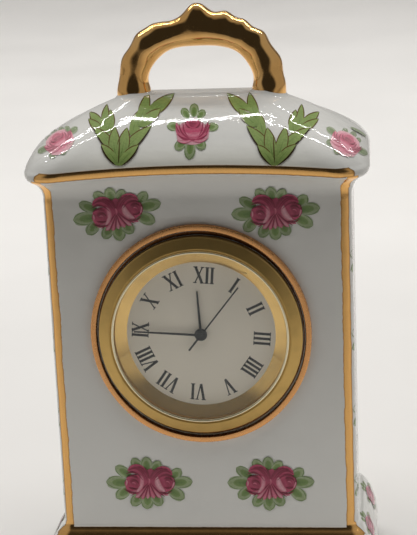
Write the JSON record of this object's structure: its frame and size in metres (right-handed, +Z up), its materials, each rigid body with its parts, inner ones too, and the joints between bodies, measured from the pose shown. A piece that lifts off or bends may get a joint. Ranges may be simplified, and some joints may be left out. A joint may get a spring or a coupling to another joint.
{
  "type": "table clock",
  "caption": "Small porcelain table clock: a hollow moulded case with a pillowed roof and a gilt branch handle, holding a push-in quartz insert with a brass bezel.",
  "frame": {"origin": "middle of the base's underside, on the surface it stands on", "axes": "+Z up, +X to the right seen from the front, the dial faces -Y"},
  "size_m": [0.0698, 0.0392, 0.1208],
  "materials": {
    "porcelain": "white porcelain under a clear gloss glaze, with gilt lines and painted roses",
    "gilt": "fired bright gold lustre over glazed porcelain",
    "brass": "satin lacquered brass",
    "polished_brass": "polished brass cone",
    "glass": "clear flat mineral glass",
    "dial_paint": "satin ivory dial paint with black numerals",
    "black": "satin black",
    "rubber": "soft black rubber",
    "nylon": "moulded white plastic",
    "nickel": "nickel plated",
    "steel": "bright steel",
    "copper": "enamelled copper winding",
    "board": "green solder mask"
  },
  "bodies": {
    "case": {"porcelain_case": "porcelain", "handle": "gilt"},
    "insert": {"bezel": "brass", "glass": "glass", "reflector_ring": "polished_brass", "dial": "dial_paint", "insert_case": "brass", "grip_ring": "rubber", "movement_holder": "nylon", "back_cover": "brass", "main_plate": "brass", "train_bridge": "nickel", "bridge_screw_1": "steel", "bridge_screw_2": "steel", "bridge_screw_3": "steel", "stator": "steel", "coil_core": "steel", "motor_coil": "copper", "circuit_board": "board", "quartz_can": "nickel", "chip": "black", "button_cell": "nickel", "cell_strap": "steel"},
    "second": {"second_wheel": "brass", "second_hand": "black"},
    "centre": {"centre_wheel": "brass", "cannon_pinion": "steel", "minute_hand": "black"},
    "hour": {"hour_wheel": "brass", "hour_hand": "black"},
    "third": {"third_wheel": "brass"},
    "fifth": {"fifth_wheel": "brass"},
    "motor": {"rotor": "steel"},
    "motion": {"minute_wheel": "brass"},
    "lever": {"setting_lever": "steel"},
    "stem": {"setting_stem": "steel", "crown": "brass"}
  },
  "joints": [
    {"name": "insert_pull", "type": "slide", "parent": "case", "child": "insert", "axis": [0, -1, 0], "range_m": [0, 0.02]},
    {"name": "second_turn", "type": "hinge", "parent": "insert", "child": "second", "pos_m": [0, -0.0155, 0.056], "axis": [0, 1, 0], "continuous": true},
    {"name": "centre_turn", "type": "hinge", "parent": "insert", "child": "centre", "pos_m": [0, -0.0155, 0.056], "axis": [0, 1, 0], "continuous": true},
    {"name": "hour_turn", "type": "hinge", "parent": "insert", "child": "hour", "pos_m": [0, -0.0155, 0.056], "axis": [0, 1, 0], "continuous": true},
    {"name": "third_turn", "type": "hinge", "parent": "insert", "child": "third", "pos_m": [-0.00394, -0.0115, 0.05494], "axis": [0, 1, 0], "continuous": true},
    {"name": "fifth_turn", "type": "hinge", "parent": "insert", "child": "fifth", "pos_m": [0.00231, -0.0115, 0.0593], "axis": [0, 1, 0], "continuous": true},
    {"name": "rotor_turn", "type": "hinge", "parent": "insert", "child": "motor", "pos_m": [0.00337, -0.0115, 0.0622], "axis": [0, 1, 0], "continuous": true},
    {"name": "motion_turn", "type": "hinge", "parent": "insert", "child": "motion", "pos_m": [0.00135, -0.0142, 0.0531], "axis": [0, 1, 0], "continuous": true},
    {"name": "crown_pull", "type": "slide", "parent": "insert", "child": "lever", "axis": [0.9962, 0, -0.0872], "range_m": [0, 0.001]},
    {"name": "crown_turn", "type": "hinge", "parent": "lever", "child": "stem", "pos_m": [0.01444, -0.0115, 0.05474], "axis": [0.9962, 0, -0.0872], "continuous": true}
  ],
  "couplings": [
    {"joint": "centre_turn", "follows": "second_turn", "ratio": 0.016667},
    {"joint": "hour_turn", "follows": "second_turn", "ratio": 0.0013889},
    {"joint": "third_turn", "follows": "second_turn", "ratio": -0.13333},
    {"joint": "fifth_turn", "follows": "second_turn", "ratio": -5},
    {"joint": "rotor_turn", "follows": "second_turn", "ratio": 30},
    {"joint": "motion_turn", "follows": "second_turn", "ratio": -0.0055556}
  ]
}
